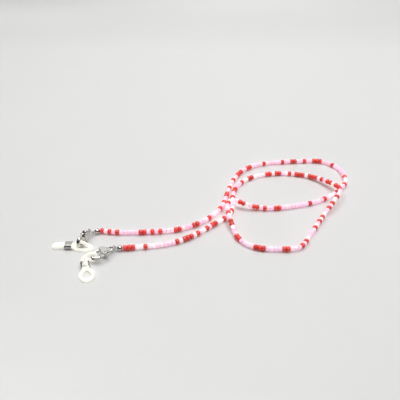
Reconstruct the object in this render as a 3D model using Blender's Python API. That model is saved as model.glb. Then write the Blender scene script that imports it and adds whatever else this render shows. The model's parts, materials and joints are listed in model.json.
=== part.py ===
"""Beaded eyeglass retainer strap, laid out on a flat surface.

A strand of 270 seed beads on a thin thread, made as 27 runs of ten beads. Each end has a crimp
under a round cover, a thread loop, a jump ring, a lobster clasp and a silicone temple loop with a
coil slider.
Metres, +Z up. The origin is at the bottom centre of the laid strap.
"""
import math

import bmesh
import bpy
from mathutils import Matrix, Vector

MM = 0.001

# Strand
BEAD_RADIUS = 1.5 * MM
BORE_RADIUS = 0.8 * MM
THREAD_RADIUS = 0.3 * MM
RUN_COUNT = 27
RUN_GAP = 0.3 * MM
TUBE_SIDES = 8
MOST_TURN = math.radians(20)

# Thread end, crimp and cover
BEAD_TO_COVER = 0.15 * MM
COVER_RADIUS = 1.6 * MM
COVER_BORE = 1.05 * MM
CRIMP_RADIUS = 0.88 * MM
CRIMP_BORE = 0.62 * MM
CRIMP_LENGTH = 2.0 * MM
LOOP_RADIUS = 0.22 * MM
LOOP_HALF_WIDTH = 0.8 * MM
LOOP_NECK = 0.27 * MM
LOOP_SLACK = 0.08 * MM
NECK_LENGTH = 1.05 * MM
COVER_TO_RING = 2.4 * MM

# Jump ring
RING_MEAN = 1.6 * MM
RING_WIRE = 0.33 * MM

# Lobster clasp, from the centre of its eye (0) to its nose, with the back at +Y
CLASP_UNIT = 1.15 * MM
EYE_MEAN = 1.35 * CLASP_UNIT
EYE_WIRE = 0.42 * CLASP_UNIT
BODY_THICKNESS = 2.8 * CLASP_UNIT
BODY_ROUNDING = 0.35 * CLASP_UNIT
ARM_RADIUS = 0.75 * CLASP_UNIT
PIVOT = Vector((3.3, -1.45, 0)) * CLASP_UNIT
PIN_RADIUS = 0.32 * CLASP_UNIT
PIN_CLEARANCE = 0.12 * CLASP_UNIT
PIN_RECESS = 0.05 * CLASP_UNIT
TRIGGER_THICKNESS = 0.9 * CLASP_UNIT
TRIGGER_SHIFT = -0.25 * CLASP_UNIT
SLOT_THICKNESS = 1.7 * CLASP_UNIT
SPRING_RADIUS = 0.6 * CLASP_UNIT
SPRING_WIRE = 0.11 * CLASP_UNIT
SPRING_TURNS = 1.2
SPRING_FOOT = 0.42 * CLASP_UNIT
SPRING_RISE = 0.24 * CLASP_UNIT

# The clasp's outlines and the hook's centreline, in clasp units in the clasp's own plane
BODY_OUTLINE = [(1.3, -0.75), (2.0, -1.75), (2.9, -2.3), (4.0, -2.35), (4.4, -2.1), (4.4, 2.75),
                (3.8, 2.95), (2.9, 2.6), (2.0, 1.75), (1.3, 0.75)]
HOOK_LINE = [(3.4, 1.9), (5.0, 2.2), (6.6, 2.25), (8.1, 1.85), (9.0, 0.95), (9.2, -0.2),
             (8.7, -1.3), (7.7, -1.95), (6.3, -2.05)]
SLOT_OUTLINE = [(2.15, -3.6), (5.4, -3.6), (5.4, -0.35), (2.15, -0.35)]
TRIGGER_OUTLINE = [(2.75, -1.05), (3.3, -0.8), (4.0, -1.05), (4.8, -1.4), (6.1, -1.5), (6.1, -2.5),
                   (4.8, -2.5), (3.7, -2.35), (3.1, -3.3), (2.5, -3.25), (2.7, -2.2), (2.55, -1.6)]

# Silicone temple loop and its coil slider
SILICONE_RADIUS = 0.9 * MM
STRAND_OFFSET = 0.95 * MM
SLIDER_WIRE = 0.45 * MM
SLIDER_TURNS = 10
SLIDER_VALLEY = 0.55
SLIDER_CLEARANCE = 0.15 * MM
SLIDER_A = ((-68.8, -39.7, 1.55), 180)
SLIDER_B = ((-59.76, -52.33, 1.55), 288)

UP = Vector((0, 0, 1))

# How each end lies: the way out of the beads, the ring's and the clasp's level directions in
# degrees from +X, the height of the clasp's eye, and the lean of the clasp's back from upright:
# a half turn has the trigger on top, and a quarter turn lays the clasp flat
END_A = (200, 228, 250, 3.55 * MM, 180)
END_B = (185, 215, 220, 3.0 * MM, 90)

# The middle of the laid strap's outline, in the route's own coordinates
MIDDLE = Vector((8.0, -10.02, 0)) * MM

# The strand's route in millimetres, from end A to end B, through the middle of the beads
ROUTE = [
    (-56.0, -28.0, 1.6), (-44.0, -29.3, 1.5), (-29.0, -28.9, 1.5), (-14.5, -27.3, 1.5),
    (-3.2, -23.0, 1.5), (6.2, -15.9, 1.5), (12.6, -7.3, 1.5), (15.6, 1.5, 1.5),
    (18.4, 12.0, 1.5), (22.3, 22.5, 1.5), (29.5, 33.0, 1.5), (41.0, 39.6, 1.5),
    (56.0, 42.3, 1.5), (71.0, 43.6, 1.5), (82.5, 43.2, 1.5), (91.0, 37.0, 1.5),
    (94.3, 27.5, 1.5), (93.0, 17.5, 1.5), (84.0, 7.0, 1.5), (71.5, -1.2, 1.5),
    (56.0, -6.0, 1.5), (42.0, -8.0, 1.5), (32.2, -7.5, 2.4), (26.5, -6.9, 4.0),
    (21.8, -5.0, 4.9), (18.4, -5.0, 5.0), (16.3, -8.7, 5.0), (16.2, -14.3, 4.9),
    (17.0, -20.2, 4.4), (18.4, -26.2, 2.9), (20.6, -32.9, 1.6), (25.2, -38.8, 1.5),
    (33.0, -41.9, 1.5), (42.5, -42.6, 1.5), (54.0, -41.0, 1.5), (62.5, -29.5, 1.5),
    (71.5, -15.8, 1.8), (81.0, -3.2, 4.2), (86.4, 6.8, 4.9), (80.8, 16.5, 3.6),
    (69.5, 26.0, 1.6), (51.0, 28.7, 1.5), (35.0, 24.6, 1.5), (27.0, 18.7, 1.5),
    (22.3, 11.5, 1.5), (20.3, 4.0, 1.5), (19.8, -3.4, 1.5), (18.6, -10.6, 1.5),
    (14.6, -16.8, 1.5), (8.8, -21.6, 1.5), (-4.5, -32.4, 1.5), (-19.0, -39.0, 1.5),
    (-41.3, -41.9, 1.6),
]

# The silicone loops' centrelines in millimetres, closed, each from the point inside its hook
LOOP_A = [
    (-64.4, -39.0, 3.5), (-62.8, -39.6, 3.3), (-61.1, -40.0, 2.3), (-59.6, -39.9, 1.2),
    (-58.6, -40.6, 0.9), (-58.9, -41.8, 0.9), (-60.6, -42.6, 0.9), (-62.9, -42.8, 0.9),
    (-65.3, -42.6, 0.9), (-66.9, -41.8, 1.1), (-67.9, -40.95, 1.5), (-68.8, -40.65, 1.55),
    (-76.4, -40.65, 1.55), (-77.7, -40.8, 1.4), (-78.7, -40.5, 1.1), (-79.0, -39.7, 1.0),
    (-78.7, -38.9, 1.1), (-77.7, -38.6, 1.4), (-76.4, -38.75, 1.55), (-68.4, -38.75, 1.55),
    (-67.5, -38.7, 1.65), (-66.8, -38.4, 2.3), (-65.7, -38.5, 3.2),
]
LOOP_B = [
    (-54.05, -49.2, 2.6), (-54.1, -49.2, 3.8), (-54.8, -49.3, 4.75), (-56.2, -49.6, 4.95),
    (-58.0, -49.7, 4.4), (-59.6, -49.9, 3.3), (-60.8, -50.3, 2.4), (-61.1, -51.2, 1.65),
    (-60.85, -52.05, 1.55), (-59.15, -57.3, 1.55), (-59.15, -57.8, 1.54), (-59.7, -59.3, 1.5),
    (-60.15, -61.3, 1.4), (-59.35, -63.15, 1.15), (-57.6, -64.2, 0.95), (-55.9, -64.15, 0.95),
    (-54.55, -63.2, 1.1), (-53.75, -61.35, 1.35), (-54.2, -59.4, 1.48), (-55.7, -58.0, 1.54),
    (-56.9, -57.3, 1.55), (-57.35, -56.65, 1.55), (-58.9, -51.9, 1.55), (-59.1, -51.2, 1.55),
    (-58.9, -50.5, 1.35), (-57.9, -50.1, 0.95), (-56.3, -50.1, 0.9), (-54.7, -49.7, 1.3),
]


def clear_scene():
    for item in list(bpy.data.objects):
        bpy.data.objects.remove(item, do_unlink=True)


def material(name, color, roughness, metallic=0.0, transmission=0.0):
    made = bpy.data.materials.new(name)
    made.use_nodes = True
    shader = made.node_tree.nodes["Principled BSDF"]
    shader.inputs["Base Color"].default_value = (*color, 1)
    shader.inputs["Roughness"].default_value = roughness
    shader.inputs["Metallic"].default_value = metallic
    shader.inputs["Transmission Weight"].default_value = transmission
    return made


def in_frame(points):
    """Route points in millimetres as points of the part's frame, in metres."""
    return [Vector(p) * MM - MIDDLE for p in points]


def smooth(points, closed=False, steps=12):
    """Points along a Catmull-Rom curve through the given points."""
    count = len(points)
    out = []
    for i in range(count if closed else count - 1):
        if closed:
            p0, p1, p2, p3 = (points[(i + k) % count] for k in (-1, 0, 1, 2))
        else:
            p0, p1 = points[max(i - 1, 0)], points[i]
            p2, p3 = points[i + 1], points[min(i + 2, count - 1)]
        for step in range(steps):
            t = step / steps
            out.append(0.5 * (2 * p1 + (p2 - p0) * t + (2 * p0 - 5 * p1 + 4 * p2 - p3) * t * t
                              + (3 * p1 - p0 - 3 * p2 + p3) * t * t * t))
    if not closed:
        out.append(points[-1].copy())
    return out


class Path:
    """A polyline that is read by its length."""

    def __init__(self, points):
        self.points = points
        self.at = [0.0]
        for a, b in zip(points, points[1:]):
            self.at.append(self.at[-1] + (b - a).length)
        self.length = self.at[-1]

    def point(self, s):
        s = min(max(s, 0.0), self.length)
        low, high = 0, len(self.at) - 1
        while high - low > 1:
            middle = (low + high) // 2
            if self.at[middle] <= s:
                low = middle
            else:
                high = middle
        span = self.at[high] - self.at[low]
        return self.points[low].lerp(self.points[high], (s - self.at[low]) / span)

    def direction(self, s):
        reach = 0.4 * MM
        return (self.point(s + reach) - self.point(s - reach)).normalized()


def rings_along(mesh, points, radius, sides, up, closed=False, ends=None):
    """Rings of vertices round a line; up is square to the line where the line is flat."""
    count = len(points)
    rings = []
    for i, point in enumerate(points):
        before = points[i - 1] if i or closed else point
        after = points[(i + 1) % count] if i < count - 1 or closed else point
        along = (after - before).normalized()
        if ends and i in (0, count - 1):
            along = ends[0] if i == 0 else ends[1]
        side = along.cross(up).normalized()
        top = side.cross(along).normalized()
        ring = []
        for k in range(sides):
            turn = 2 * math.pi * (k + 0.5) / sides
            ring.append(mesh.verts.new(point + radius * (math.cos(turn) * side + math.sin(turn) * top)))
        rings.append(ring)
    return rings


def bridge(mesh, first, second):
    for k in range(len(first)):
        mesh.faces.new((first[k - 1], first[k], second[k], second[k - 1]))


def object_of(name, mesh, slot, smooth_angle=40):
    bmesh.ops.recalc_face_normals(mesh, faces=mesh.faces)
    data = bpy.data.meshes.new(name)
    mesh.to_mesh(data)
    mesh.free()
    data.materials.append(slot)
    data.shade_smooth()
    data.set_sharp_from_angle(angle=math.radians(smooth_angle))
    made = bpy.data.objects.new(name, data)
    bpy.context.scene.collection.objects.link(made)
    return made


def solid_sweep(name, points, radius, slot, up, sides=TUBE_SIDES, closed=False):
    """A round bar along a line, with flat ends, or a closed ring."""
    mesh = bmesh.new()
    rings = rings_along(mesh, points, radius, sides, up, closed)
    for first, second in zip(rings, rings[1:]):
        bridge(mesh, first, second)
    if closed:
        bridge(mesh, rings[-1], rings[0])
    else:
        mesh.faces.new(rings[0])
        mesh.faces.new(rings[-1])
    return object_of(name, mesh, slot)


def hollow_sweep(name, points, outer, inner, slot, up, ends=None, sides=TUBE_SIDES):
    """A tube along a line, bored from end to end."""
    mesh = bmesh.new()
    outside = rings_along(mesh, points, outer, sides, up, ends=ends)
    inside = rings_along(mesh, points, inner, sides, up, ends=ends)
    for rings in (outside, inside):
        for first, second in zip(rings, rings[1:]):
            bridge(mesh, first, second)
    bridge(mesh, outside[0], inside[0])
    bridge(mesh, outside[-1], inside[-1])
    return object_of(name, mesh, slot)


def helper(made):
    made.hide_render = True
    made.display_type = "WIRE"
    return made


def boolean(made, tool, operation):
    change = made.modifiers.new(tool.name, "BOOLEAN")
    change.operation = operation
    change.object = helper(tool)
    return change


def strand_stations(path):
    """Where the bead runs' rings lie along the strand: a list of lengths for each run."""
    span = path.length / RUN_COUNT
    runs = []
    for run in range(RUN_COUNT):
        start, stop = run * span + RUN_GAP / 2, (run + 1) * span - RUN_GAP / 2
        probes = [path.direction(start + (stop - start) * k / 8) for k in range(9)]
        turn = sum(a.angle(b) for a, b in zip(probes, probes[1:]))
        pieces = max(2, math.ceil(turn / MOST_TURN))
        runs.append([start + (stop - start) * k / pieces for k in range(pieces + 1)])
    return runs


def bead_strand(path, slots):
    """The bead runs and the thread inside them."""
    outer = BEAD_RADIUS / math.cos(math.pi / TUBE_SIDES)
    stations = strand_stations(path)
    for run, lengths in enumerate(stations):
        points = [path.point(s) for s in lengths]
        ends = path.direction(lengths[0]), path.direction(lengths[-1])
        hollow_sweep(f"bead_run_{run + 1:02d}", points, outer, BORE_RADIUS,
                     slots["bead_red" if run % 3 == 0 else "bead_pink"], UP, ends)
    line = [path.point(0)] + [path.point(s) for lengths in stations for s in lengths[:-1]]
    thread_tube("thread", line + [path.point(path.length)], slots["thread"])


def thread_tube(name, points, slot):
    curve = bpy.data.curves.new(name, "CURVE")
    curve.dimensions = "3D"
    curve.bevel_depth = THREAD_RADIUS
    curve.bevel_resolution = 2
    curve.use_fill_caps = True
    curve.resolution_u = 1
    curve.render_resolution_u = 0
    spline = curve.splines.new("POLY")
    spline.points.add(len(points) - 1)
    for knot, point in zip(spline.points, points):
        knot.co = (*point, 1)
    curve.materials.append(slot)
    made = bpy.data.objects.new(name, curve)
    bpy.context.scene.collection.objects.link(made)


def thread_end(tag, end, out, spread, slots):
    """The crimp, its round cover and the thread's loop; gives the middle of the jump ring's near wire.

    end is where the last bead ends, out the level direction away from it, and spread the
    direction that the loop opens in.
    """
    centre = end + out * (COVER_RADIUS + BEAD_TO_COVER)
    side = out.cross(UP).normalized()
    ball = bmesh.new()
    bmesh.ops.create_uvsphere(ball, u_segments=16, v_segments=10, radius=COVER_RADIUS,
                              matrix=frame_matrix(centre, side, out.cross(side), out))
    cover = object_of(f"crimp_cover_{tag}", ball, slots["steel"])
    reach = COVER_RADIUS * 1.3
    drill = solid_sweep(f"cover_drill_{tag}", [centre - out * reach, centre + out * reach],
                        COVER_BORE, slots["steel"], UP, 12)
    boolean(cover, drill, "DIFFERENCE")
    half = out * (CRIMP_LENGTH / 2)
    hollow_sweep(f"crimp_tube_{tag}", [centre - half, centre + half], CRIMP_RADIUS, CRIMP_BORE,
                 slots["steel"], UP, sides=12)

    wire = centre + out * COVER_TO_RING
    bend = wire + out * LOOP_SLACK
    points = []
    for k in range(9):
        turn = math.radians(-90 + 180 * k / 8)
        points.append(bend + LOOP_HALF_WIDTH * (math.cos(turn) * out + math.sin(turn) * spread))
    tail, fold = -0.3 * MM, -0.55 * MM
    points += [centre + out * NECK_LENGTH + spread * LOOP_NECK,
               centre + out * tail + spread * LOOP_NECK,
               centre + out * fold, centre + out * tail - spread * LOOP_NECK,
               centre + out * NECK_LENGTH - spread * LOOP_NECK]
    solid_sweep(f"thread_loop_{tag}", points, LOOP_RADIUS, slots["thread"], out.cross(spread), 6,
                closed=True)
    return wire


def frame_matrix(origin, x_axis, y_axis, z_axis):
    turn = Matrix((x_axis, y_axis, z_axis)).transposed()
    return Matrix.Translation(origin) @ turn.to_4x4()


def jump_ring(tag, near, toward, normal, slots):
    """A closed wire ring whose near wire is at near; gives the middle of its far wire."""
    centre = near + toward * RING_MEAN
    side = normal.cross(toward).normalized()
    points = []
    for k in range(20):
        turn = 2 * math.pi * k / 20
        points.append(centre + RING_MEAN * (math.cos(turn) * toward + math.sin(turn) * side))
    solid_sweep(f"jump_ring_{tag}", points, RING_WIRE, slots["steel"], normal, closed=True)
    return near + toward * 2 * RING_MEAN


def prism(name, outline, low, high, slot, place, bevel=0.0):
    """An outline in the clasp's own plane, extruded through its thickness."""
    mesh = bmesh.new()
    bottom = [mesh.verts.new((x * CLASP_UNIT, y * CLASP_UNIT, low)) for x, y in outline]
    face = mesh.faces.new(bottom)
    grown = bmesh.ops.extrude_face_region(mesh, geom=[face])
    moved = [v for v in grown["geom"] if isinstance(v, bmesh.types.BMVert)]
    bmesh.ops.translate(mesh, verts=moved, vec=(0, 0, high - low))
    made = object_of(name, mesh, slot, 30)
    made.matrix_world = place
    if bevel:
        edge = made.modifiers.new("round", "BEVEL")
        edge.width = bevel
        edge.segments = 2
        edge.limit_method = "ANGLE"
        edge.angle_limit = math.radians(50)
    return made


def pin_bar(name, radius, half, slot, place, sides=12):
    bar = solid_sweep(name, [PIVOT - UP * half, PIVOT + UP * half], radius, slot,
                      Vector((1, 0, 0)), sides)
    bar.matrix_world = place
    return bar


def lobster_clasp(tag, place, slots):
    """The cast body with its eye and hook, the trigger, its pin and its spring."""
    steel = slots["steel"]
    half = BODY_THICKNESS / 2
    body = prism(f"clasp_body_{tag}", BODY_OUTLINE, -half, half, steel, place, bevel=BODY_ROUNDING)

    hook_line = smooth([Vector((x, y, 0)) * CLASP_UNIT for x, y in HOOK_LINE], steps=2)
    hook = solid_sweep(f"hook_arm_{tag}", hook_line, ARM_RADIUS, steel, UP)
    hook.matrix_world = place
    boolean(body, hook, "UNION")

    eye_line = []
    for k in range(16):
        turn = 2 * math.pi * k / 16
        eye_line.append(EYE_MEAN * Vector((math.cos(turn), math.sin(turn), 0)))
    eye = solid_sweep(f"clasp_eye_{tag}", eye_line, EYE_WIRE, steel, UP, closed=True)
    eye.matrix_world = place
    boolean(body, eye, "UNION")

    slot_half = SLOT_THICKNESS / 2
    slot = prism(f"trigger_slot_{tag}", SLOT_OUTLINE, -slot_half, slot_half, steel, place)
    boolean(body, slot, "DIFFERENCE")
    drill_radius = PIN_RADIUS + PIN_CLEARANCE
    boolean(body, pin_bar(f"pin_drill_{tag}", drill_radius, half * 1.3, steel, place), "DIFFERENCE")

    thin = TRIGGER_THICKNESS / 2
    lever = prism(f"clasp_trigger_{tag}", TRIGGER_OUTLINE, TRIGGER_SHIFT - thin, TRIGGER_SHIFT + thin,
                  steel, place)
    boolean(lever, pin_bar(f"trigger_drill_{tag}", drill_radius, half, steel, place), "DIFFERENCE")
    pin_bar(f"trigger_pin_{tag}", PIN_RADIUS, half - PIN_RECESS, steel, place)

    coil = []
    for k in range(15):
        turn = 2 * math.pi * SPRING_TURNS * k / 14
        ring = SPRING_RADIUS * Vector((math.cos(turn), math.sin(turn), 0))
        coil.append(PIVOT + ring + UP * (SPRING_FOOT + SPRING_RISE * k / 14))
    spring = solid_sweep(f"trigger_spring_{tag}", coil, SPRING_WIRE, slots["spring"], UP, 6)
    spring.matrix_world = place


def oval(half_width, half_height, steps):
    """A flat-sided oval: two half circles joined by straight sides."""
    flat = half_width - half_height
    points = []
    for k in range(steps):
        turn = 2 * math.pi * k / steps
        shift = flat if math.cos(turn) > 1e-6 else -flat if math.cos(turn) < -1e-6 else 0
        points.append((shift + half_height * math.cos(turn), half_height * math.sin(turn)))
    return points


def coil_slider(tag, place, slots):
    """The close-wound oval coil round both silicone strands, its turns joined."""
    mesh = bmesh.new()
    start, along = in_frame([place[0]])[0], level(place[1])
    side = along.cross(UP).normalized()
    inner_high = SILICONE_RADIUS + SLIDER_CLEARANCE
    inner_wide = STRAND_OFFSET + inner_high
    profile = [(0.0, SLIDER_VALLEY)]
    for turn in range(SLIDER_TURNS):
        profile += [(turn + 0.5, 1.0), (turn + 1.0, SLIDER_VALLEY)]

    def ring(step, grow):
        centre = start + along * SLIDER_WIRE * step
        return [mesh.verts.new(centre + side * x + UP * z)
                for x, z in oval(inner_wide + grow, inner_high + grow, 16)]

    rings = [ring(step, SLIDER_WIRE * share) for step, share in profile]
    bore = [ring(step, 0) for step in (0, SLIDER_TURNS)]
    for first, second in zip(rings, rings[1:]):
        bridge(mesh, first, second)
    bridge(mesh, *bore)
    bridge(mesh, rings[0], bore[0])
    bridge(mesh, rings[-1], bore[-1])
    object_of(f"coil_slider_{tag}", mesh, slots["steel"], 60)


def silicone_loop(tag, points, slots):
    line = smooth(points, closed=True)
    for point in line:
        point.z = max(point.z, SILICONE_RADIUS)
    line = Path(line + [line[0]])
    count = 48
    spaced = [line.point(line.length * k / count) for k in range(count)]
    solid_sweep(f"silicone_loop_{tag}", spaced, SILICONE_RADIUS, slots["silicone"], UP, closed=True)


def level(angle):
    """The level direction at an angle in degrees from +X."""
    return Vector((math.cos(math.radians(angle)), math.sin(math.radians(angle)), 0))


def end_hardware(tag, end, lie, slots):
    """One end's hardware, link after link, away from the beads; each link is square to the next."""
    out_angle, ring_angle, clasp_angle, eye_height, lean = lie
    ahead, out = level(clasp_angle), level(out_angle)
    turn = math.radians(lean)
    back = UP * math.cos(turn) + level(clasp_angle - 90) * math.sin(turn)
    face = ahead.cross(back)
    near = thread_end(tag, end, out, out.cross(UP) if abs(face.z) > 0.5 else UP, slots)
    rise = math.asin((eye_height - near.z) / (2 * RING_MEAN))
    toward = level(ring_angle) * math.cos(rise) + UP * math.sin(rise)
    far = jump_ring(tag, near, toward, toward.cross(face).normalized(), slots)
    lobster_clasp(tag, frame_matrix(far, ahead, back, face), slots)


def make_strap():
    clear_scene()
    slots = {
        "bead_red": material("bead_red", (0.72, 0.03, 0.03), 0.25),
        "bead_pink": material("bead_pink", (0.86, 0.55, 0.66), 0.2),
        "thread": material("thread", (0.85, 0.8, 0.8), 0.6),
        "steel": material("steel", (0.62, 0.62, 0.6), 0.2, metallic=1.0),
        "spring": material("spring", (0.45, 0.45, 0.45), 0.35, metallic=1.0),
        "silicone": material("silicone", (0.9, 0.9, 0.86), 0.3, transmission=0.8),
    }
    line = smooth(in_frame(ROUTE))
    for point in line:
        point.z = max(point.z, BEAD_RADIUS)
    path = Path(line)
    bead_strand(path, slots)
    end_hardware("a", path.point(0), END_A, slots)
    end_hardware("b", path.point(path.length), END_B, slots)
    silicone_loop("a", in_frame(LOOP_A), slots)
    silicone_loop("b", in_frame(LOOP_B), slots)
    coil_slider("a", SLIDER_A, slots)
    coil_slider("b", SLIDER_B, slots)


make_strap()
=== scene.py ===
"""Looks of the beaded eyeglass retainer strap: 270 glass beads, polished steel fittings and
clear silicone temple loops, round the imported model."""
import json
import math
import random

import bmesh
import bpy
from mathutils import Matrix, Vector

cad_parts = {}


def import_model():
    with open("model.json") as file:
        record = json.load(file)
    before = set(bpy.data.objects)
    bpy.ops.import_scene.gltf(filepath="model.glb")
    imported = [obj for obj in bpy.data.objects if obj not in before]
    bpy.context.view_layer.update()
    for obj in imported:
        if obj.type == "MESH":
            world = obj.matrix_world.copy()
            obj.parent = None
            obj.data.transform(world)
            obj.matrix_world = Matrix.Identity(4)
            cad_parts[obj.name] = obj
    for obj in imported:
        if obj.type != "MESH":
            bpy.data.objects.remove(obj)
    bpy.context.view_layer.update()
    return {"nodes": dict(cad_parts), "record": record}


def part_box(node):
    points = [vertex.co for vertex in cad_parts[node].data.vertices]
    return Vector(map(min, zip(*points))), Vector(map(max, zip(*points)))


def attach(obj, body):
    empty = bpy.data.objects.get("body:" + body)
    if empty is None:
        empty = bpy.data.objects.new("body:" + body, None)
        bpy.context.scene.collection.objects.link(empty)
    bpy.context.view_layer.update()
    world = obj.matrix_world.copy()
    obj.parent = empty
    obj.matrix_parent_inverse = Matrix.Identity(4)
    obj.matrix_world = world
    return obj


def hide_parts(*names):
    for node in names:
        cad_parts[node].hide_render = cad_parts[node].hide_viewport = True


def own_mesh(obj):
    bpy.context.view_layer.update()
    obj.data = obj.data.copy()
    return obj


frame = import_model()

MM = 0.001
UP = Vector((0, 0, 1))
X_AXIS = Vector((1, 0, 0))
Y_AXIS = Vector((0, 1, 0))
JOINTS = {joint["name"]: joint for joint in frame["record"]["behaviour"]["joints"]}

# The middle of the laid strap, in the coordinates of the routes below
MIDDLE = Vector((8.0, -10.02, 0)) * MM

# The strand's route in millimetres, from end A to end B, through the middle of the beads
ROUTE = [
    (-56.0, -28.0, 1.6), (-44.0, -29.3, 1.5), (-29.0, -28.9, 1.5), (-14.5, -27.3, 1.5),
    (-3.2, -23.0, 1.5), (6.2, -15.9, 1.5), (12.6, -7.3, 1.5), (15.6, 1.5, 1.5),
    (18.4, 12.0, 1.5), (22.3, 22.5, 1.5), (29.5, 33.0, 1.5), (41.0, 39.6, 1.5),
    (56.0, 42.3, 1.5), (71.0, 43.6, 1.5), (82.5, 43.2, 1.5), (91.0, 37.0, 1.5),
    (94.3, 27.5, 1.5), (93.0, 17.5, 1.5), (84.0, 7.0, 1.5), (71.5, -1.2, 1.5),
    (56.0, -6.0, 1.5), (42.0, -8.0, 1.5), (32.2, -7.5, 2.4), (26.5, -6.9, 4.0),
    (21.8, -5.0, 4.9), (18.4, -5.0, 5.0), (16.3, -8.7, 5.0), (16.2, -14.3, 4.9),
    (17.0, -20.2, 4.4), (18.4, -26.2, 2.9), (20.6, -32.9, 1.6), (25.2, -38.8, 1.5),
    (33.0, -41.9, 1.5), (42.5, -42.6, 1.5), (54.0, -41.0, 1.5), (62.5, -29.5, 1.5),
    (71.5, -15.8, 1.8), (81.0, -3.2, 4.2), (86.4, 6.8, 4.9), (80.8, 16.5, 3.6),
    (69.5, 26.0, 1.6), (51.0, 28.7, 1.5), (35.0, 24.6, 1.5), (27.0, 18.7, 1.5),
    (22.3, 11.5, 1.5), (20.3, 4.0, 1.5), (19.8, -3.4, 1.5), (18.6, -10.6, 1.5),
    (14.6, -16.8, 1.5), (8.8, -21.6, 1.5), (-4.5, -32.4, 1.5), (-19.0, -39.0, 1.5),
    (-41.3, -41.9, 1.6),
]

# The silicone loops' centrelines in millimetres, closed, each from the point inside its hook
LOOP_A = [
    (-64.4, -39.0, 3.5), (-62.8, -39.6, 3.3), (-61.1, -40.0, 2.3), (-59.6, -39.9, 1.2),
    (-58.6, -40.6, 0.9), (-58.9, -41.8, 0.9), (-60.6, -42.6, 0.9), (-62.9, -42.8, 0.9),
    (-65.3, -42.6, 0.9), (-66.9, -41.8, 1.1), (-67.9, -40.95, 1.5), (-68.8, -40.65, 1.55),
    (-76.4, -40.65, 1.55), (-77.7, -40.8, 1.4), (-78.7, -40.5, 1.1), (-79.0, -39.7, 1.0),
    (-78.7, -38.9, 1.1), (-77.7, -38.6, 1.4), (-76.4, -38.75, 1.55), (-68.4, -38.75, 1.55),
    (-67.5, -38.7, 1.65), (-66.8, -38.4, 2.3), (-65.7, -38.5, 3.2),
]
LOOP_B = [
    (-54.05, -49.2, 2.6), (-54.1, -49.2, 3.8), (-54.8, -49.3, 4.75), (-56.2, -49.6, 4.95),
    (-58.0, -49.7, 4.4), (-59.6, -49.9, 3.3), (-60.8, -50.3, 2.4), (-61.1, -51.2, 1.65),
    (-60.85, -52.05, 1.55), (-59.15, -57.3, 1.55), (-59.15, -57.8, 1.54), (-59.7, -59.3, 1.5),
    (-60.15, -61.3, 1.4), (-59.35, -63.15, 1.15), (-57.6, -64.2, 0.95), (-55.9, -64.15, 0.95),
    (-54.55, -63.2, 1.1), (-53.75, -61.35, 1.35), (-54.2, -59.4, 1.48), (-55.7, -58.0, 1.54),
    (-56.9, -57.3, 1.55), (-57.35, -56.65, 1.55), (-58.9, -51.9, 1.55), (-59.1, -51.2, 1.55),
    (-58.9, -50.5, 1.35), (-57.9, -50.1, 0.95), (-56.3, -50.1, 0.9), (-54.7, -49.7, 1.3),
]

# The beads in order from end A, thirty to a line: R opaque red, p palest pink, . pink or lilac
PATTERN = (
    "R.R.R.....RR.R.R...RR...RR..pR"
    ".pp.R..R..RR..Rp..Rp.RRR..RR.."
    "..R.....R..RR..R..RRR...R....."
    ".R.p.R....R.pp.R....R........R"
    "R..R.RR.pRR.ppR.p.Rp.RRp..RR.."
    "..RRR....RR...R.Rp....Rp.RpRp."
    ".R.RppRp..RRRpRR.R.RRRpRRR.Rp."
    "RRpRR.pppRRppR...RR..Rppp.pRp."
    ".RppRR.Rp.RpRRRpR.....p.RppRRR"
)
BEADS_PER_STRETCH = 30
BEADS_PER_RUN = 10
RUNS_PER_STRETCH = BEADS_PER_STRETCH // BEADS_PER_RUN
RED_RADIUS = 1.56 * MM
PINK_RADIUS = 1.36 * MM
BEAD_BORE = 0.55 * MM
BEAD_SIDES = 20
BEAD_ROWS = 12
BEAD_END_POWER = 0.8  # powers below 1 square off the ends and sides of the bead's outline
BEAD_SIDE_POWER = 0.6
RED_FILL = (0.96, 1.03)  # the share of its pitch that a bead fills
PINK_FILL = (0.9, 0.98)
SIZE_SPREAD = (0.95, 1.0)
SKEW_TURN = 4  # degrees
SKEW_TIP = 3
THREAD_DIAMETER = 0.6 * MM
THREAD_STEP = 1.5 * MM
INNER_GLOW = 0.47  # stands in for the light that clear glass passes on from the sheet below

# Fittings
COVER_RADIUS = 1.6 * MM
COVER_WALL = 0.3 * MM
COVER_HOLE = math.radians(24)
COVER_SEAM = math.radians(5)
COVER_SEAM_SIDE = math.radians(-60)
COVER_STEPS = 44
COVER_ROWS = 16
RING_MEAN = 1.6 * MM
RING_WIRE = 0.33 * MM
RING_CUT = math.radians(3)
LOOP_HALF_WIDTH = 0.8 * MM
LOOP_RADIUS = 0.2 * MM
LOOP_SHIFT = 0.08 * MM
NECK_HALF = 0.25 * MM
NECK_OUT = 1.05 * MM  # where the loop's two sides draw together, out from the crimp's middle
NECK_BACK = -0.3 * MM
NECK_ROUND = 1.8
BAR_SIDES = 20
SILICONE_RADIUS = 0.9 * MM
SILICONE_SEAM = 0.03 * MM
STRAND_OFFSET = 0.95 * MM
SLIDER_WIRE = 0.45 * MM
SLIDER_TURNS = 10
SLIDER_STEPS = 40
SLIDER_WIRE_SHARE = 0.98
SLIDER_FLATNESS = 3.0
SLIDER_CLEARANCE = 0.15 * MM
SLIDER_SPLIT = 2.1 * MM

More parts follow.
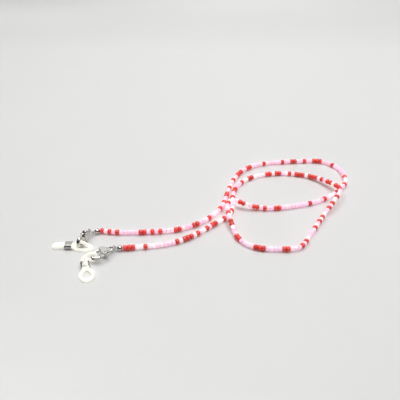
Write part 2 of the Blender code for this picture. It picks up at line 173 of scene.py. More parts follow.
# The clasp's outlines, hook and fittings, in clasp units in the clasp's own plane
CLASP_UNIT = 1.15 * MM
BODY_OUTLINE = [(1.3, -0.75), (2.0, -1.75), (2.9, -2.3), (4.0, -2.35), (4.4, -2.1), (4.4, 2.75),
                (3.8, 2.95), (2.9, 2.6), (2.0, 1.75), (1.3, 0.75)]
HOOK_LINE = [(3.4, 1.9), (5.0, 2.2), (6.6, 2.25), (8.1, 1.85), (9.0, 0.95), (9.2, -0.2),
             (8.7, -1.3), (7.7, -1.95), (6.3, -2.05)]
SLOT_OUTLINE = [(2.15, -3.6), (5.4, -3.6), (5.4, -0.35), (2.15, -0.35)]
TRIGGER_OUTLINE = [(2.75, -1.05), (3.3, -0.8), (4.0, -1.05), (4.8, -1.4), (6.1, -1.5), (6.1, -2.5),
                   (4.8, -2.5), (3.7, -2.35), (3.1, -3.3), (2.5, -3.25), (2.7, -2.2), (2.55, -1.6)]
PIVOT = Vector((3.3, -1.45, 0))
BODY_HALF = 1.4
SLOT_HALF = 0.85
TRIGGER_HALF = 0.45
TRIGGER_SHIFT = -0.25
PIN_RADIUS = 0.32
DRILL_RADIUS = 0.44
EYE_MEAN = 1.35
EYE_WIRE = 0.42
ARM_RADIUS = 0.75
ARM_WIDTH = 1.2
DRILL_REACH = 1.2
BODY_VOXEL = 0.1
BODY_POLISH = 7
LEVER_VOXEL = 0.07
LEVER_POLISH = 4
RIVET_RECESS = 0.05
RIVET_EDGE = [(0.0, 0.5), (0.12, 0.92), (0.3, 1.0)]  # depth, and share of the pin's radius
SPRING_RADIUS = 0.6
SPRING_WIRE = 0.11
SPRING_TURNS = 1.2
SPRING_START = 0.42
SPRING_RISE = 0.24
SPRING_STEPS = 40

# Camera
CAMERA_DOWN = math.radians(38)
CAMERA_HEIGHT = 168.3 * MM
CAMERA_LENS = 40.32
BEAD_PLANE = 1.5 * MM

# Stage, in metres
FLOOR_HALF = 1.6
FLOOR_FRONT = -1.4
FLOOR_BACK = 0.27
FLOOR_BEND = 0.12
FLOOR_BEND_ANGLE = math.radians(80)
FLOOR_BEND_STEPS = 12
FLOOR_RISE = (0.18, 1.0)

# The colour sockets of Blender's Mix node, which has several that share a name
MIX_A = 6
MIX_B = 7
MIX_RESULT = 2


# ---------------------------------------------------------------- lines and meshes

def in_frame(points):
    """Points in the routes' millimetres, turned into the frame's metres."""
    return [Vector(p) * MM - MIDDLE for p in points]


def smooth(points, closed=False, steps=12):
    """Points along a Catmull-Rom curve through the given points."""
    count = len(points)
    out = []
    for i in range(count if closed else count - 1):
        if closed:
            p0, p1, p2, p3 = (points[(i + k) % count] for k in (-1, 0, 1, 2))
        else:
            p0, p1 = points[max(i - 1, 0)], points[i]
            p2, p3 = points[i + 1], points[min(i + 2, count - 1)]
        for step in range(steps):
            t = step / steps
            out.append(0.5 * (2 * p1 + (p2 - p0) * t + (2 * p0 - 5 * p1 + 4 * p2 - p3) * t * t
                              + (3 * p1 - p0 - 3 * p2 + p3) * t * t * t))
    if not closed:
        out.append(points[-1].copy())
    return out


class Path:
    """A polyline that is read by its length."""

    def __init__(self, points):
        self.points = points
        self.at = [0.0]
        for a, b in zip(points, points[1:]):
            self.at.append(self.at[-1] + (b - a).length)
        self.length = self.at[-1]

    def point(self, s):
        s = min(max(s, 0.0), self.length)
        low, high = 0, len(self.at) - 1
        while high - low > 1:
            middle = (low + high) // 2
            if self.at[middle] <= s:
                low = middle
            else:
                high = middle
        span = self.at[high] - self.at[low]
        return self.points[low].lerp(self.points[high], (s - self.at[low]) / span)

    def direction(self, s, reach=0.4 * MM):
        return (self.point(s + reach) - self.point(s - reach)).normalized()


class Shape:
    """Vertices and faces gathered before they become one mesh object."""

    def __init__(self):
        self.verts = []
        self.faces = []
        self.slots = []
        self.tints = []

    def ring(self, points, tint=(1, 1, 1, 1)):
        first = len(self.verts)
        self.verts += [tuple(p) for p in points]
        self.tints += [tint] * len(points)
        return list(range(first, len(self.verts)))

    def bridge(self, first, second, slot=0):
        for k in range(len(first)):
            self.faces.append((first[k - 1], first[k], second[k], second[k - 1]))
            self.slots.append(slot)

    def cap(self, ring, slot=0):
        self.faces.append(tuple(ring))
        self.slots.append(slot)

    def object(self, name, materials, sharp=50):
        data = bpy.data.meshes.new(name)
        data.from_pydata(self.verts, [], self.faces)
        mesh = bmesh.new()
        mesh.from_mesh(data)
        bmesh.ops.recalc_face_normals(mesh, faces=mesh.faces)
        mesh.to_mesh(data)
        mesh.free()
        for item in materials:
            data.materials.append(item)
        data.polygons.foreach_set("material_index", self.slots)
        tint = data.color_attributes.new("tint", "FLOAT_COLOR", "POINT")
        tint.data.foreach_set("color", [value for color in self.tints for value in color])
        data.shade_smooth()
        data.set_sharp_from_angle(angle=math.radians(sharp))
        made = bpy.data.objects.new(name, data)
        bpy.context.scene.collection.objects.link(made)
        return made


def sweep(shape, points, radius, sides, up, closed=False, flat=1.0, seam=0.0):
    """A round bar along a line; flat widens it along up, and seam raises a fine parting line."""
    count = len(points)
    rings = []
    for i, point in enumerate(points):
        before = points[i - 1] if i or closed else point
        after = points[(i + 1) % count] if i < count - 1 or closed else point
        along = (after - before).normalized()
        side = along.cross(up).normalized()
        top = side.cross(along).normalized()
        ring = []
        for k in range(sides):
            turn = 2 * math.pi * k / sides
            grown = radius + (seam if k % (sides // 2) == 0 else 0)
            ring.append(point + grown * (math.cos(turn) * side + flat * math.sin(turn) * top))
        rings.append(shape.ring(ring))
    for first, second in zip(rings, rings[1:]):
        shape.bridge(first, second)
    if closed:
        shape.bridge(rings[-1], rings[0])
    else:
        shape.cap(rings[0])
        shape.cap(rings[-1])


def circle(centre, radius, first, second, steps, start=0.0, turn=2 * math.pi):
    """Points on a circle or an arc in the plane of two directions."""
    whole = abs(turn - 2 * math.pi) < 1e-6
    last = steps if whole else steps - 1
    return [centre + radius * (math.cos(start + turn * k / last) * first
                               + math.sin(start + turn * k / last) * second)
            for k in range(steps)]


# ---------------------------------------------------------------- materials

def shader_of(name):
    """A new material with its node tree and its shader."""
    made = bpy.data.materials.new(name)
    made.use_nodes = True
    return made, made.node_tree, made.node_tree.nodes["Principled BSDF"]


def noise(tree, scale, detail=2.0):
    """A noise texture in the object's own metres."""
    place = tree.nodes.new("ShaderNodeTexCoord")
    made = tree.nodes.new("ShaderNodeTexNoise")
    made.inputs["Scale"].default_value = scale
    made.inputs["Detail"].default_value = detail
    tree.links.new(place.outputs["Object"], made.inputs["Vector"])
    return made.outputs["Fac"]


def ramp(tree, factor, low, high):
    """A value turned from 0..1 into low..high, as a number or a colour."""
    made = tree.nodes.new("ShaderNodeMapRange")
    made.inputs["To Min"].default_value = low
    made.inputs["To Max"].default_value = high
    tree.links.new(factor, made.inputs["Value"])
    return made.outputs["Result"]


def bump(tree, shader, factor, distance):
    made = tree.nodes.new("ShaderNodeBump")
    made.inputs["Distance"].default_value = distance
    made.inputs["Strength"].default_value = 1.0
    tree.links.new(factor, made.inputs["Height"])
    tree.links.new(made.outputs["Normal"], shader.inputs["Normal"])


def mixed(tree, factor, first, second):
    """Two colours mixed by a value; each is a colour or a socket."""
    made = tree.nodes.new("ShaderNodeMix")
    made.data_type = "RGBA"
    tree.links.new(factor, made.inputs["Factor"])
    for socket, color in ((made.inputs[MIX_A], first), (made.inputs[MIX_B], second)):
        if isinstance(color, tuple):
            socket.default_value = (*color, 1)
        else:
            tree.links.new(color, socket)
    return made.outputs[MIX_RESULT]


def tinted(tree, shade):
    """The bead's own tint, with cloudier glass in places."""
    tint = tree.nodes.new("ShaderNodeVertexColor")
    tint.layer_name = "tint"
    darker = tree.nodes.new("ShaderNodeMix")
    darker.data_type = "RGBA"
    darker.blend_type = "MULTIPLY"
    darker.inputs["Factor"].default_value = 1.0
    tree.links.new(tint.outputs["Color"], darker.inputs[MIX_A])
    tree.links.new(shade, darker.inputs[MIX_B])
    return darker.outputs[MIX_RESULT]


def red_glass():
    made, tree, shader = shader_of("red_glass")
    cloud = noise(tree, 1100, 3)
    shade = mixed(tree, cloud, (0.86, 0.8, 0.8), (1.0, 1.0, 1.0))
    color = tinted(tree, shade)
    tree.links.new(color, shader.inputs["Base Color"])
    tree.links.new(ramp(tree, noise(tree, 2600), 0.1, 0.26), shader.inputs["Roughness"])
    shader.inputs["Coat Weight"].default_value = 0.8
    shader.inputs["Coat Roughness"].default_value = 0.04
    shader.inputs["Subsurface Weight"].default_value = 0.2
    shader.inputs["Subsurface Radius"].default_value = (1.0, 0.2, 0.15)
    shader.inputs["Subsurface Scale"].default_value = 0.4 * MM
    bump(tree, shader, noise(tree, 900), 0.03 * MM)
    tree.links.new(color, shader.inputs["Emission Color"])
    shader.inputs["Emission Strength"].default_value = INNER_GLOW / 4
    return made


def pink_glass():
    """Milky glass with a wet-looking outside; part of its colour is in the lining."""
    made, tree, shader = shader_of("pink_glass")
    cloud = noise(tree, 1300, 3)
    shade = mixed(tree, cloud, (0.95, 0.93, 0.94), (1.0, 1.0, 1.0))
    color = tinted(tree, shade)
    tree.links.new(color, shader.inputs["Base Color"])
    tree.links.new(ramp(tree, noise(tree, 2400), 0.06, 0.2), shader.inputs["Roughness"])
    shader.inputs["IOR"].default_value = 1.5
    shader.inputs["Subsurface Weight"].default_value = 0.55
    shader.inputs["Subsurface Radius"].default_value = (1.0, 0.75, 0.8)
    shader.inputs["Subsurface Scale"].default_value = 0.9 * MM
    shader.inputs["Coat Weight"].default_value = 0.7
    shader.inputs["Coat Roughness"].default_value = 0.04
    tree.links.new(color, shader.inputs["Emission Color"])
    shader.inputs["Emission Strength"].default_value = INNER_GLOW
    bump(tree, shader, noise(tree, 800), 0.03 * MM)
    return made


def pink_lining():
    made, tree, shader = shader_of("pink_lining")
    patchy = noise(tree, 1800, 4)
    color = mixed(tree, patchy, (0.93, 0.6, 0.7), (0.97, 0.74, 0.8))
    tree.links.new(color, shader.inputs["Base Color"])
    tree.links.new(ramp(tree, patchy, 0.3, 0.5), shader.inputs["Roughness"])
    return made


def polished_steel():
    made, tree, shader = shader_of("polished_steel")
    shader.inputs["Metallic"].default_value = 1.0
    color = mixed(tree, noise(tree, 420, 3), (0.58, 0.57, 0.54), (0.74, 0.73, 0.7))
    tree.links.new(color, shader.inputs["Base Color"])
    tree.links.new(ramp(tree, noise(tree, 1500, 4), 0.1, 0.24), shader.inputs["Roughness"])
    bump(tree, shader, noise(tree, 1200, 3), 0.012 * MM)
    return made


def drawn_wire():
    made, tree, shader = shader_of("drawn_wire")
    shader.inputs["Metallic"].default_value = 1.0
    color = mixed(tree, noise(tree, 900, 3), (0.36, 0.36, 0.36), (0.5, 0.49, 0.47))
    tree.links.new(color, shader.inputs["Base Color"])
    tree.links.new(ramp(tree, noise(tree, 3000, 4), 0.22, 0.4), shader.inputs["Roughness"])
    bump(tree, shader, noise(tree, 4000, 2), 0.01 * MM)
    return made


def clear_silicone():
    made, tree, shader = shader_of("clear_silicone")
    color = mixed(tree, noise(tree, 260, 3), (0.95, 0.93, 0.85), (0.98, 0.97, 0.91))
    tree.links.new(color, shader.inputs["Base Color"])
    tree.links.new(ramp(tree, noise(tree, 900, 4), 0.22, 0.42), shader.inputs["Roughness"])
    shader.inputs["IOR"].default_value = 1.41
    shader.inputs["Transmission Weight"].default_value = 0.6
    shader.inputs["Subsurface Weight"].default_value = 0.6
    tree.links.new(color, shader.inputs["Emission Color"])
    shader.inputs["Emission Strength"].default_value = INNER_GLOW / 2
    shader.inputs["Subsurface Radius"].default_value = (1.0, 0.95, 0.8)
    shader.inputs["Subsurface Scale"].default_value = 1.5 * MM
    bump(tree, shader, noise(tree, 1600, 4), 0.02 * MM)
    return made


def twisted_nylon():
    made, tree, shader = shader_of("twisted_nylon")
    place = tree.nodes.new("ShaderNodeTexCoord")
    strands = tree.nodes.new("ShaderNodeTexWave")
    strands.wave_type = "BANDS"
    strands.bands_direction = "DIAGONAL"
    strands.inputs["Scale"].default_value = 900
    strands.inputs["Distortion"].default_value = 1.5
    tree.links.new(place.outputs["Object"], strands.inputs["Vector"])
    color = mixed(tree, strands.outputs["Fac"], (0.6, 0.52, 0.54), (0.82, 0.74, 0.76))
    tree.links.new(color, shader.inputs["Base Color"])
    shader.inputs["Roughness"].default_value = 0.6
    shader.inputs["Sheen Weight"].default_value = 0.2
    bump(tree, shader, strands.outputs["Fac"], 0.04 * MM)
    return made


# ---------------------------------------------------------------- pieces and the frame

def finish_piece(made, body, slot, *nodes):
    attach(made, body)
    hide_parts(*nodes)
    return made


def middle_of(node):
    low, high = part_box(node)
    return (Vector(low) + Vector(high)) / 2


# ---------------------------------------------------------------- strand

def bead(shape, place, half_length, radius, tint):
    """One seed bead about the local X axis; its bore has the second material."""
    rings = []
    turns = [2 * math.pi * k / BEAD_SIDES for k in range(BEAD_SIDES)]
    for k in range(BEAD_ROWS + 1):
        angle = -math.pi / 2 + math.pi * k / BEAD_ROWS
        x = half_length * math.copysign(abs(math.sin(angle)) ** BEAD_END_POWER, math.sin(angle))
        r = BEAD_BORE + (radius - BEAD_BORE) * max(math.cos(angle), 0.0) ** BEAD_SIDE_POWER
        rings.append(shape.ring([place @ Vector((x, r * math.cos(turn), r * math.sin(turn)))
                                 for turn in turns], tint))
    for first, second in zip(rings, rings[1:]):
        shape.bridge(first, second)
    shape.bridge(rings[-1], rings[0], 1)


def bead_place(path, s, chance):
    """Where a bead sits on the thread, a little askew as threaded beads are."""
    along = path.direction(s)
    side = along.cross(UP).normalized()
    turn = Matrix((along, side, along.cross(side))).transposed()
    askew = Matrix.Rotation(math.radians(chance.uniform(-SKEW_TURN, SKEW_TURN)), 3, "Z")
    askew = askew @ Matrix.Rotation(math.radians(chance.uniform(-SKEW_TIP, SKEW_TIP)), 3, "Y")
    return Matrix.Translation(path.point(s)) @ (turn @ askew).to_4x4()


def tint_of(kind, chance):
    """A bead's colour, picked from its kind's range."""
    if kind == "R":
        light = chance.uniform(0.9, 1.08)
        return 0.93 * light, 0.06 * light, 0.045 * light, 1
    if kind == "p":
        return chance.choice([(0.98, 0.84, 0.86, 1), (0.97, 0.8, 0.84, 1), (0.98, 0.88, 0.9, 1)])
    return chance.choice([(0.97, 0.6, 0.72, 1), (0.98, 0.66, 0.76, 1), (0.92, 0.62, 0.78, 1),
                          (0.98, 0.7, 0.79, 1), (0.96, 0.56, 0.69, 1)])


def bead_stretches(path, red, pink, lining):
    """The beads, thirty to a stretch, its red ones and its pink ones each as one piece."""
    chance = random.Random(7)
    pitch = path.length / len(PATTERN)
    made = []
    for first in range(0, len(PATTERN), BEADS_PER_STRETCH):
        number = first // BEADS_PER_STRETCH + 1
        shapes = {"R": Shape(), "other": Shape()}
        for i in range(first, first + BEADS_PER_STRETCH):
            kind = PATTERN[i]
            is_red = kind == "R"
            place = bead_place(path, (i + 0.5) * pitch, chance)
            half = pitch / 2 * chance.uniform(*(RED_FILL if is_red else PINK_FILL))
            radius = (RED_RADIUS if is_red else PINK_RADIUS) * chance.uniform(*SIZE_SPREAD)
            bead(shapes["R" if is_red else "other"], place, half, radius, tint_of(kind, chance))
        runs = [f"bead_run_{first // BEADS_PER_RUN + k + 1:02d}" for k in range(RUNS_PER_STRETCH)]
        reds = shapes["R"].object(f"red_beads_{number}", [red, red])
        made.append(finish_piece(reds, "strand", "bead_red", runs[0]))
        pinks = shapes["other"].object(f"pink_beads_{number}", [pink, lining])
        made.append(finish_piece(pinks, "strand", "bead_pink", *runs[1:]))
    return made


def thread(path, nylon):
    """The thread that the beads are on, as one curve from crimp to crimp."""
    curve = bpy.data.curves.new("bead_thread", "CURVE")
    curve.dimensions = "3D"
    curve.bevel_depth = THREAD_DIAMETER / 2
    curve.bevel_resolution = 3
    curve.use_fill_caps = True
    curve.resolution_u = 1
    spline = curve.splines.new("POLY")
    count = round(path.length / THREAD_STEP)
    spline.points.add(count)
    for k in range(count + 1):
        spline.points[k].co = (*path.point(path.length * k / count), 1)
    curve.materials.append(nylon)
    made = bpy.data.objects.new("bead_thread", curve)
    bpy.context.scene.collection.objects.link(made)
    return finish_piece(made, "strand", "thread", "thread")


# ---------------------------------------------------------------- fittings

def crimp_ball(tag, centre, out, steel):
    """A bent-round cover over the crimp, open at both ends, with the seam where it closes."""
    shape = Shape()
    side = out.cross(UP).normalized()
    inner = COVER_RADIUS - COVER_WALL
    arc = [COVER_HOLE + (math.pi - 2 * COVER_HOLE) * k / COVER_ROWS for k in range(COVER_ROWS + 1)]
    profile = [(COVER_RADIUS * math.cos(angle), COVER_RADIUS * math.sin(angle)) for angle in arc]
    profile += [(inner * math.cos(angle), inner * math.sin(angle)) for angle in reversed(arc)]
    rings = []
    for k in range(COVER_STEPS + 1):
        turn = COVER_SEAM_SIDE + COVER_SEAM / 2 + (2 * math.pi - COVER_SEAM) * k / COVER_STEPS
        round_ = math.cos(turn) * side + math.sin(turn) * UP
        rings.append(shape.ring([centre + out * x + round_ * r for x, r in profile]))
    for before, after in zip(rings, rings[1:]):
        shape.bridge(before, after)
    shape.cap(rings[0])
    shape.cap(rings[-1])
    made = shape.object(f"crimp_ball_{tag}", [steel], 40)
    return finish_piece(made, "strand", "steel", f"crimp_cover_{tag}")


def thread_eye(tag, centre, near, out, spread, nylon):
    """The thread's loop round the jump ring, drawn together where it enters the crimp."""
    bend = near + out * LOOP_SHIFT
    points = circle(bend, LOOP_HALF_WIDTH, out, spread, 15, -math.pi / 2, math.pi)
    neck = spread * NECK_HALF
    front, back = centre + out * NECK_OUT, centre + out * NECK_BACK
    points += [front + neck, back + neck, centre + out * NECK_BACK * NECK_ROUND, back - neck,
               front - neck]
    shape = Shape()
    sweep(shape, smooth(points, closed=True, steps=4), LOOP_RADIUS, 12, out.cross(spread),
          closed=True)
    made = shape.object(f"thread_eye_{tag}", [nylon])
    return finish_piece(made, "strand", "thread", f"thread_loop_{tag}")


def split_ring(tag, near, far, across, steel):
    """The jump ring, cut once and closed so that only a hairline shows."""
    toward = (far - near).normalized()
    side = (across - toward * across.dot(toward)).normalized()
    line = circle((near + far) / 2, RING_MEAN, side, toward, 60, RING_CUT / 2,
                  2 * math.pi - RING_CUT)
    shape = Shape()
    sweep(shape, line, RING_WIRE, 16, toward.cross(side))
    made = shape.object(f"split_ring_{tag}", [steel])
    return finish_piece(made, f"ring_{tag}", "steel", f"jump_ring_{tag}")


def flat_prism(outline, low, high):
    """An outline in the clasp's own plane, between two heights."""
    shape = Shape()
    bottom = shape.ring([Vector((x, y, low)) for x, y in outline])
    top = shape.ring([Vector((x, y, high)) for x, y in outline])
    shape.bridge(bottom, top)
    shape.cap(bottom)
    shape.cap(top)
    return shape


def round_bar(points, radius, closed=False, flat=1.0):
    shape = Shape()
    sweep(shape, points, radius, BAR_SIDES, UP, closed, flat)
    return shape


def bored(line, radius):
    """A round cutter along a pin's line."""
    shape = Shape()
    sweep(shape, line, radius, 24, X_AXIS)
    return shape


def cast(name, solids, cuts, voxel, rounds, place, materials):
    """Solids melted together, cut and smoothed as a polished casting; all in clasp units."""
    parts = [solid.object("part", []) for solid in solids]
    tools = [cut.object("tool", []) for cut in cuts]
    whole = bmesh.new()
    for part in parts:
        whole.from_mesh(part.data)
    data = bpy.data.meshes.new(name)
    whole.to_mesh(data)
    whole.free()
    blank = bpy.data.objects.new(name, data)
    bpy.context.scene.collection.objects.link(blank)

    def remesh():
        change = blank.modifiers.new("melt", "REMESH")
        change.mode = "VOXEL"
        change.voxel_size = voxel

    remesh()
    for tool in tools:
        change = blank.modifiers.new("cut", "BOOLEAN")
        change.operation = "DIFFERENCE"
        change.object = tool
    if tools:
        remesh()
    polish = blank.modifiers.new("polish", "SMOOTH")
    polish.factor = 0.5
    polish.iterations = rounds
    done = bpy.data.meshes.new_from_object(blank.evaluated_get(bpy.context.evaluated_depsgraph_get()))
    for item in (*parts, *tools, blank):
        bpy.data.objects.remove(item, do_unlink=True)
    done.transform(place @ Matrix.Scale(CLASP_UNIT, 4))
    done.materials.clear()
    for item in materials:
        done.materials.append(item)
    done.shade_smooth()
    made = bpy.data.objects.new(name, done)
    bpy.context.scene.collection.objects.link(made)
    return made


def clasp_place(tag):
    """The clasp's own plane: from its eye towards its hook, its back, and across it."""
    eye = Vector(JOINTS[f"clasp_swing_{tag}"]["pos_m"])
    hook = Vector(JOINTS[f"loop_swing_{tag}"]["pos_m"])
    across = Vector(JOINTS[f"loop_swing_{tag}"]["axis"]).normalized()
    ahead = (hook - eye).normalized()
    turn = Matrix((ahead, across.cross(ahead), across)).transposed()
    return Matrix.Translation(eye) @ turn.to_4x4()


def drill():
    """The trigger pin's hole, right through the body."""
    reach = UP * BODY_HALF * DRILL_REACH
    return bored([PIVOT - reach, PIVOT + reach], DRILL_RADIUS)


def clasp_casting(tag, place, steel):
    """The clasp's body with its eye and hook, and the slot that the trigger turns in."""
    hook = smooth([Vector((x, y, 0)) for x, y in HOOK_LINE], steps=6)
    eye = circle(Vector((0, 0, 0)), EYE_MEAN, X_AXIS, Y_AXIS, 40)
    solids = [flat_prism(BODY_OUTLINE, -BODY_HALF, BODY_HALF),
              round_bar(hook, ARM_RADIUS, flat=ARM_WIDTH), round_bar(eye, EYE_WIRE, closed=True)]
    cuts = [flat_prism(SLOT_OUTLINE, -SLOT_HALF, SLOT_HALF), drill()]
    made = cast(f"clasp_casting_{tag}", solids, cuts, BODY_VOXEL, BODY_POLISH, place, [steel])
    return finish_piece(made, f"clasp_{tag}", "steel", f"clasp_body_{tag}")


def clasp_lever(tag, place, steel):
    low, high = TRIGGER_SHIFT - TRIGGER_HALF, TRIGGER_SHIFT + TRIGGER_HALF
    made = cast(f"clasp_lever_{tag}", [flat_prism(TRIGGER_OUTLINE, low, high)], [drill()],
                LEVER_VOXEL, LEVER_POLISH, place, [steel])
    return finish_piece(made, f"trigger_{tag}", "steel", f"clasp_trigger_{tag}")


def trigger_rivet(tag, place, steel):
    """The trigger's pin, with domed ends just inside the body's faces."""
    half = BODY_HALF - RIVET_RECESS
    rows = [(-half + depth, share) for depth, share in RIVET_EDGE]
    rows += [(half - depth, share) for depth, share in reversed(RIVET_EDGE)]
    shape = Shape()
    rings = [shape.ring([place @ (p * CLASP_UNIT)
                         for p in circle(PIVOT + UP * z, PIN_RADIUS * share, X_AXIS, Y_AXIS, 24)])
             for z, share in rows]
    for first, second in zip(rings, rings[1:]):
        shape.bridge(first, second)
    shape.cap(rings[0])
    shape.cap(rings[-1])
    made = shape.object(f"trigger_rivet_{tag}", [steel])
    return finish_piece(made, f"clasp_{tag}", "steel", f"trigger_pin_{tag}")


def return_spring(tag, place, wire):
    """The wire spring round the trigger's pin, beside the lever."""
    line = []
    for k in range(SPRING_STEPS + 1):
        turn = 2 * math.pi * SPRING_TURNS * k / SPRING_STEPS
        reach = SPRING_RADIUS * (math.cos(turn) * X_AXIS + math.sin(turn) * Y_AXIS)
        rise = UP * (SPRING_START + SPRING_RISE * k / SPRING_STEPS)
        line.append(place @ ((PIVOT + reach + rise) * CLASP_UNIT))
    shape = Shape()
    sweep(shape, line, SPRING_WIRE * CLASP_UNIT, 10, (place.to_3x3() @ UP).normalized())
    made = shape.object(f"return_spring_{tag}", [wire])
    return finish_piece(made, f"clasp_{tag}", "spring", f"trigger_spring_{tag}")


def clasp(tag, steel, wire):
    """The whole clasp, made in its own plane, where UP is across it, and put in place."""
    place = clasp_place(tag)
    clasp_casting(tag, place, steel)
    clasp_lever(tag, place, steel)
    trigger_rivet(tag, place, steel)
    return_spring(tag, place, wire)


def temple_cord(tag, points, silicone):
    """The silicone loop as one piece."""
    shape = Shape()
    line = smooth(in_frame(points), closed=True, steps=10)
    sweep(shape, line, SILICONE_RADIUS, BAR_SIDES, UP, closed=True, seam=SILICONE_SEAM)
    made = shape.object(f"temple_cord_{tag}", [silicone])
    return finish_piece(made, f"temple_loop_{tag}", "silicone", f"silicone_loop_{tag}")


def closing_cord(tag, points, silicone):
    """The silicone loop in two pieces, joined out of sight in its slider, which draws one narrow."""
    middle, along = middle_of(f"coil_slider_{tag}"), slide(tag)
    line = smooth(in_frame(points), closed=True, steps=10)
    beyond = [(p - middle).dot(along) > SLIDER_SPLIT for p in line]
    start = next(k for k in range(len(line)) if beyond[k] and not beyond[k - 1])
    turned = line[start:] + line[:start]
    count = sum(beyond)
    pieces = []
    oval, others = turned[:count + 1], turned[count:] + turned[:1]
    for name, stretch in (("temple_oval", oval), ("temple_cord", others)):
        shape = Shape()
        sweep(shape, stretch, SILICONE_RADIUS, BAR_SIDES, UP, seam=SILICONE_SEAM)
        made = shape.object(f"{name}_{tag}", [silicone])
        pieces.append(finish_piece(made, f"temple_loop_{tag}", "silicone", f"silicone_loop_{tag}"))
    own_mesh(pieces[0])


def slide(tag):
    """The direction in which an end's coil slides."""
    return Vector(JOINTS[f"slider_travel_{tag}"]["axis"]).normalized()


def coil(tag, steel):
    """The close-wound oval coil that slides on the silicone."""
    centre, along = middle_of(f"coil_slider_{tag}"), slide(tag)
    side = along.cross(UP).normalized()
    grow = SILICONE_RADIUS + SLIDER_CLEARANCE + SLIDER_WIRE / 2
    turns = SLIDER_TURNS - 1
    line = []
    for k in range(turns * SLIDER_STEPS + 1):
        turn = 2 * math.pi * k / SLIDER_STEPS
        shift = STRAND_OFFSET * max(-1.0, min(1.0, SLIDER_FLATNESS * math.cos(turn)))
        reach = (k / SLIDER_STEPS - turns / 2) * SLIDER_WIRE
        line.append(centre + along * reach + side * (shift + grow * math.cos(turn))
                    + UP * grow * math.sin(turn))
    shape = Shape()
    sweep(shape, line, SLIDER_WIRE / 2 * SLIDER_WIRE_SHARE, 12, along)
    made = shape.object(f"slider_coil_{tag}", [steel])
    return finish_piece(made, f"slider_{tag}", "steel", f"coil_slider_{tag}")


# ---------------------------------------------------------------- stage

def camera():
    data = bpy.data.cameras.new("camera")
    data.lens = CAMERA_LENS
    data.sensor_width = 36
    data.clip_start = 0.01
    made = bpy.data.objects.new("camera", data)
    bpy.context.scene.collection.objects.link(made)
    ahead = Vector((0, math.cos(CAMERA_DOWN), -math.sin(CAMERA_DOWN)))
    aim = Vector((-MIDDLE.x, -MIDDLE.y, BEAD_PLANE))
    made.location = aim - ahead * (CAMERA_HEIGHT / math.sin(CAMERA_DOWN))
    made.rotation_euler = (math.pi / 2 - CAMERA_DOWN, 0, 0)
    bpy.context.scene.camera = made


def floor():
    """A pale sheet that lies flat and curves up behind the strap."""
    shape = Shape()
    line = [(FLOOR_FRONT, 0.0), (0.0, 0.0), (FLOOR_BACK, 0.0)]
    for k in range(1, FLOOR_BEND_STEPS + 1):
        turn = FLOOR_BEND_ANGLE * k / FLOOR_BEND_STEPS
        line.append((FLOOR_BACK + FLOOR_BEND * math.sin(turn), FLOOR_BEND * (1 - math.cos(turn))))
    line.append((line[-1][0] + FLOOR_RISE[0], line[-1][1] + FLOOR_RISE[1]))
    left = shape.ring([Vector((-FLOOR_HALF, y, z)) for y, z in line])
    right = shape.ring([Vector((FLOOR_HALF, y, z)) for y, z in line])
    for k in range(1, len(line)):
        shape.faces.append((left[k - 1], right[k - 1], right[k], left[k]))
        shape.slots.append(0)
    made, tree, shader = shader_of("paper")
    color = mixed(tree, noise(tree, 30, 3), (0.77, 0.77, 0.765), (0.785, 0.785, 0.78))
    tree.links.new(color, shader.inputs["Base Color"])
    shader.inputs["Roughness"].default_value = 0.35
    shader.inputs["Specular IOR Level"].default_value = 0.35
    piece = shape.object("floor", [made])


def area_light(name, place, aim, size, power):
    data = bpy.data.lights.new(name, "AREA")
    data.shape = "DISK"
    data.size = size
    data.energy = power
    made = bpy.data.objects.new(name, data)
    made.location = place
    made.rotation_euler = (Vector(aim) - Vector(place)).to_track_quat("-Z", "Y").to_euler()
    bpy.context.scene.collection.objects.link(made)


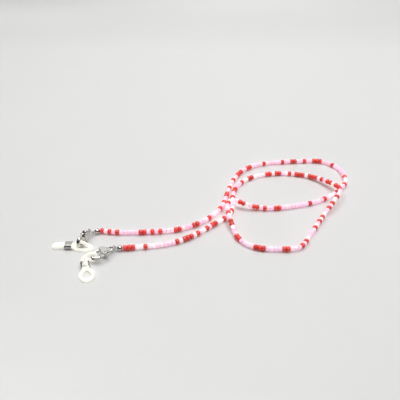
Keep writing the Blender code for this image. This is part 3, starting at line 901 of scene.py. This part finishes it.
def world():
    """Soft light from above, dimmer towards the horizon."""
    made = bpy.data.worlds.new("studio")
    made.use_nodes = True
    tree = made.node_tree
    place = tree.nodes.new("ShaderNodeTexCoord")
    split = tree.nodes.new("ShaderNodeSeparateXYZ")
    tree.links.new(place.outputs["Generated"], split.inputs["Vector"])
    shade = tree.nodes.new("ShaderNodeMapRange")
    shade.inputs["From Min"].default_value = 0.0
    shade.inputs["From Max"].default_value = 0.7
    shade.inputs["To Min"].default_value = 0.38
    shade.inputs["To Max"].default_value = 1.55
    tree.links.new(split.outputs["Z"], shade.inputs["Value"])
    tree.links.new(shade.outputs["Result"], tree.nodes["Background"].inputs["Strength"])
    bpy.context.scene.world = made


def stage():
    bpy.context.scene.view_settings.view_transform = "Standard"
    floor()
    world()
    area_light("key", (-0.8, 0.9, 1.5), (0, 0, 0), 1.0, 22.0)
    area_light("fill", (0.5, -0.2, 1.6), (0, 0, 0), 1.5, 15.5)
    area_light("backdrop", (0.0, 0.25, 0.8), (0.0, 0.7, 0.3), 0.6, 2.4)


# ---------------------------------------------------------------- the strap

def keep_nodes(steel):
    """The crimp tubes' own shapes are right; they only need their metal."""
    for tag in "ab":
        node = frame["nodes"][f"crimp_tube_{tag}"]
        node.data.materials.clear()
        node.data.materials.append(steel)


def end_fittings(tag, steel, wire, nylon):
    """One end's cover, thread loop, ring and clasp, each link square to the one before it."""
    near = Vector(JOINTS[f"ring_swing_{tag}"]["pos_m"])
    far = Vector(JOINTS[f"clasp_swing_{tag}"]["pos_m"])
    centre = middle_of(f"crimp_tube_{tag}")
    across = Vector(JOINTS[f"loop_swing_{tag}"]["axis"]).normalized()
    out = (near - centre).normalized()
    spread = out.cross(UP) if abs(across.z) > 0.5 else UP
    ball = crimp_ball(tag, centre, out, steel)
    thread_eye(tag, centre, near, out, spread, nylon)
    split_ring(tag, near, far, across, steel)
    clasp(tag, steel, wire)
    return ball


def make_strap():
    """The whole strap with its stage."""
    camera()
    line = smooth(in_frame(ROUTE))
    for point in line:
        point.z = max(point.z, BEAD_PLANE)
    path = Path(line)
    steel, wire, nylon = polished_steel(), drawn_wire(), twisted_nylon()
    silicone = clear_silicone()
    string = thread(path, nylon)
    beads = bead_stretches(path, red_glass(), pink_glass(), pink_lining())
    balls = [end_fittings(tag, steel, wire, nylon) for tag in "ab"]
    keep_nodes(steel)

    temple_cord("a", LOOP_A, silicone)
    closing_cord("b", LOOP_B, silicone)
    coil("a", steel)
    coil("b", steel)
    stage()


make_strap()
